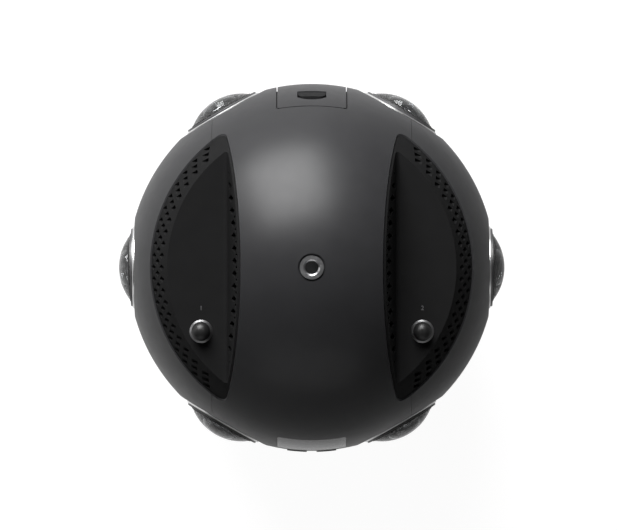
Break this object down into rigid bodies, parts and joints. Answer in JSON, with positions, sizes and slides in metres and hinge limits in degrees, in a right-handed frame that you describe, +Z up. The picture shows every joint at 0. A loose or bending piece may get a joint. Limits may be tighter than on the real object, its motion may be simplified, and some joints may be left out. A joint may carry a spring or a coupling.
{
  "type": "360 degree camera",
  "caption": "Ball-shaped surround camera with lenses round its equator, crescent vents, a slide-out battery, a display, buttons and tripod threads.",
  "frame": {"origin": "centre of the tripod thread's mouth, in the plane of the base", "axes": "+Z up through the crown socket, -Y through the display, +Y through the battery cover, +X through lens 1"},
  "size_m": [0.1502, 0.1434, 0.1389],
  "materials": {
    "shell_paint": "fine satin dark grey paint",
    "vent_plastic": "matt black moulded plastic",
    "polished_metal": "polished",
    "trim_black": "satin black",
    "barrel_black": "flat black",
    "lens_glass": "polished, coated",
    "board_green": "solder mask",
    "deck_aluminium": "dark anodised",
    "sink_aluminium": "extruded",
    "black_plastic": "satin black",
    "steel": "machined",
    "cap_gloss": "glossy black",
    "display_gloss": "glossy dark window",
    "button_plastic": "satin black"
  },
  "bodies": {
    "camera": {"lens_trim_plates": "trim_black", "lens_sensor_boards": "board_green", "lens_1_bezel": "polished_metal", "lens_1_barrel": "barrel_black", "lens_1_glass": "lens_glass", "lens_2_bezel": "polished_metal", "lens_2_barrel": "barrel_black", "lens_2_glass": "lens_glass", "lens_3_bezel": "polished_metal", "lens_3_barrel": "barrel_black", "lens_3_glass": "lens_glass", "lens_4_bezel": "polished_metal", "lens_4_barrel": "barrel_black", "lens_4_glass": "lens_glass", "lens_5_bezel": "polished_metal", "lens_5_barrel": "barrel_black", "lens_5_glass": "lens_glass", "lens_6_bezel": "polished_metal", "lens_6_barrel": "barrel_black", "lens_6_glass": "lens_glass", "upper_shell": "shell_paint", "lower_shell": "shell_paint", "left_side_shell": "shell_paint", "right_side_shell": "shell_paint", "left_top_vent": "vent_plastic", "right_top_vent": "vent_plastic", "left_bottom_vent": "vent_plastic", "right_bottom_vent": "vent_plastic", "upper_deck": "deck_aluminium", "lower_deck": "deck_aluminium", "base_plate": "deck_aluminium", "heat_sink": "sink_aluminium", "fan_housing": "black_plastic", "main_board": "board_green", "control_board": "board_green", "port_boards": "board_green", "top_thread_bush": "steel", "tripod_bush": "steel", "base_screws": "steel", "antenna_sockets": "polished_metal", "battery_bay": "black_plastic", "display_window": "display_gloss", "ethernet_socket": "steel", "usb_socket": "steel", "hdmi_socket": "steel", "audio_socket": "black_plastic", "power_socket": "black_plastic", "card_slots": "black_plastic"},
    "battery": {"battery_pack": "black_plastic", "battery_cover": "shell_paint", "latch_spring": "steel"},
    "latch": {"battery_latch": "black_plastic"},
    "left_cap": {"left_antenna_cap": "cap_gloss"},
    "right_cap": {"right_antenna_cap": "cap_gloss"},
    "fan": {"fan_rotor": "black_plastic"},
    "upper_left_button_key": {"upper_left_button": "button_plastic"},
    "upper_right_button_key": {"upper_right_button": "button_plastic"},
    "lower_left_button_key": {"lower_left_button": "button_plastic"},
    "lower_right_button_key": {"lower_right_button": "button_plastic"},
    "power_button_key": {"power_button": "button_plastic"}
  },
  "joints": [
    {"name": "battery_slide", "type": "slide", "parent": "camera", "child": "battery", "axis": [0, 1, 0], "range_m": [0, 0.045]},
    {"name": "latch_slide", "type": "slide", "parent": "battery", "child": "latch", "axis": [0, 0, 1], "range_m": [0, 0.0018], "stiffness_N_per_m": 400, "springref_m": -0.002, "deforming": ["latch_spring"]},
    {"name": "left_cap_lift", "type": "slide", "parent": "camera", "child": "left_cap", "axis": [0, 0, 1], "range_m": [0, 0.012]},
    {"name": "right_cap_lift", "type": "slide", "parent": "camera", "child": "right_cap", "axis": [0, 0, 1], "range_m": [0, 0.012]},
    {"name": "fan_spin", "type": "hinge", "parent": "camera", "child": "fan", "pos_m": [0, 0, 0.1075], "axis": [0, 0, 1], "continuous": true},
    {"name": "upper_left_button_press", "type": "slide", "parent": "camera", "child": "upper_left_button_key", "axis": [0, 1, 0], "range_m": [0, 0.0005], "stiffness_N_per_m": 800, "springref_m": -0.001},
    {"name": "upper_right_button_press", "type": "slide", "parent": "camera", "child": "upper_right_button_key", "axis": [0, 1, 0], "range_m": [0, 0.0005], "stiffness_N_per_m": 800, "springref_m": -0.001},
    {"name": "lower_left_button_press", "type": "slide", "parent": "camera", "child": "lower_left_button_key", "axis": [0, 1, 0], "range_m": [0, 0.0005], "stiffness_N_per_m": 800, "springref_m": -0.001},
    {"name": "lower_right_button_press", "type": "slide", "parent": "camera", "child": "lower_right_button_key", "axis": [0, 1, 0], "range_m": [0, 0.0005], "stiffness_N_per_m": 800, "springref_m": -0.001},
    {"name": "power_button_press", "type": "slide", "parent": "camera", "child": "power_button_key", "axis": [0, 1, 0], "range_m": [0, 0.0005], "stiffness_N_per_m": 800, "springref_m": -0.001}
  ]
}
